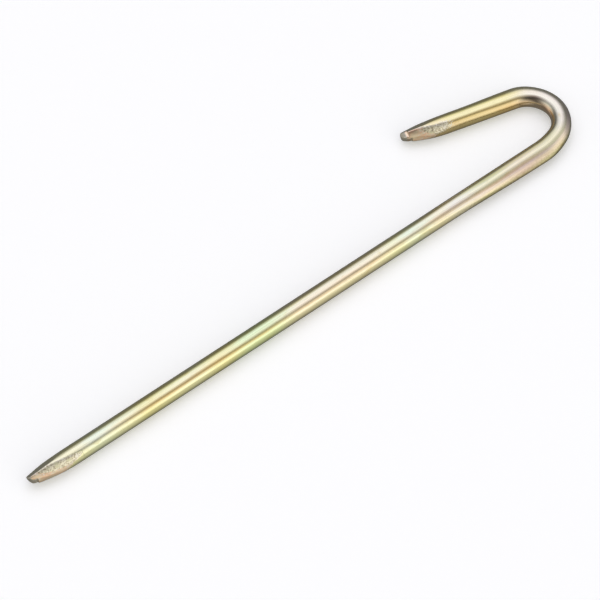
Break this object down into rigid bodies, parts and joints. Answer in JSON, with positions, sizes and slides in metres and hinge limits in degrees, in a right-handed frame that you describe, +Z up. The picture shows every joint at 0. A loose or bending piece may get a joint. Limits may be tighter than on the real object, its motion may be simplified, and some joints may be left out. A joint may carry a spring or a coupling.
{
  "type": "tent stake",
  "caption": "Round steel ground stake bent back into a J-hook, forged to a blunt point at the shank's end and at the arm's.",
  "frame": {"origin": "centre of the footprint, on the surface that the stake lies on", "axes": "+X along the shank from the driven point to the hook, +Y towards the hook's arm, +Z up"},
  "size_m": [0.3, 0.0504, 0.009],
  "materials": {
    "plated_bar": "yellow zinc chromate plating, satin, with a faint iridescent drift along the bar"
  },
  "bodies": {
    "root": {"stake_bar": "plated_bar"}
  },
  "joints": []
}
